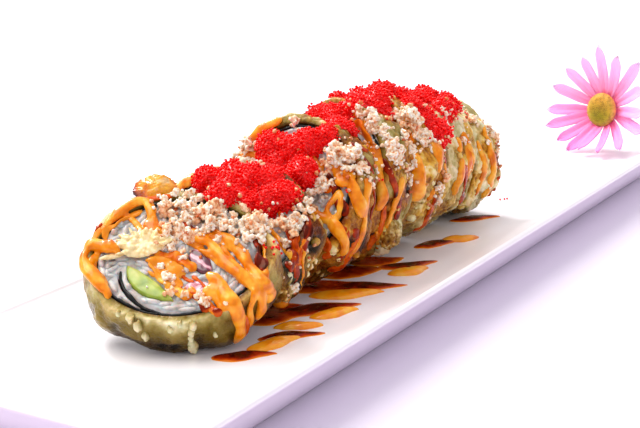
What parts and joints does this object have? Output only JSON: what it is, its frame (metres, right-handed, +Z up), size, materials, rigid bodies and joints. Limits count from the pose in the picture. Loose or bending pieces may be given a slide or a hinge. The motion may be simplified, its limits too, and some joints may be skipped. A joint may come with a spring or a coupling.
{
  "type": "plate of sushi rolls",
  "caption": "Long porcelain plate with a row of battered, fried sushi slices under red fish roe, fried crumbs and two drizzled sauces, beside a daisy.",
  "frame": {"origin": "on the table under the middle of the plate, in the plane of its foot", "axes": "+X runs along the plate and the row of slices towards the flower, +Y to the side away from the sauce tails, +Z up"},
  "size_m": [0.3994, 0.1034, 0.0721],
  "materials": {
    "porcelain": "gloss white glaze",
    "fried_batter": "fried batter, rough with an oily sheen",
    "nori": "damp roasted seaweed",
    "rice": "cooked rice, moist",
    "avocado": "ripe avocado flesh",
    "fish": "raw red fish, wet",
    "crab": "shredded crab stick",
    "roe": "wet red fish eggs",
    "crumbs": "fried crumbs",
    "amber_batter": "browned, oily batter",
    "petals": "soft petals",
    "flower_eye": "velvety florets",
    "stem": "fresh stem"
  },
  "bodies": {
    "root": {"avocado_1": "avocado", "avocado_2": "avocado", "avocado_3": "avocado", "avocado_4": "avocado", "avocado_5": "avocado", "avocado_6": "avocado", "avocado_7": "avocado", "batter_curl": "amber_batter", "batter_flake": "fried_batter", "crab_1": "crab", "crab_2": "crab", "crab_3": "crab", "crab_4": "crab", "crab_5": "crab", "crab_6": "crab", "crab_7": "crab", "crunch_1": "crumbs", "crunch_2": "crumbs", "crunch_3": "crumbs", "crunch_4": "crumbs", "crunch_5": "crumbs", "crunch_6": "crumbs", "crunch_7": "crumbs", "crust_1": "fried_batter", "crust_2": "fried_batter", "crust_3": "fried_batter", "crust_4": "fried_batter", "crust_5": "fried_batter", "crust_6": "fried_batter", "crust_7": "fried_batter", "fish_1": "fish", "fish_2": "fish", "fish_3": "fish", "fish_4": "fish", "fish_5": "fish", "fish_6": "fish", "fish_7": "fish", "flower_eye": "flower_eye", "flower_petals": "petals", "flower_stem": "stem", "green_1": "avocado", "nori_1": "nori", "nori_2": "nori", "nori_3": "nori", "nori_4": "nori", "nori_5": "nori", "nori_6": "nori", "nori_7": "nori", "plate": "porcelain", "plate_rim": "porcelain", "rice_1": "rice", "rice_2": "rice", "rice_3": "rice", "rice_4": "rice", "rice_5": "rice", "rice_6": "rice", "rice_7": "rice", "roe_1": "roe", "roe_2": "roe", "roe_3": "roe"}
  },
  "joints": []
}
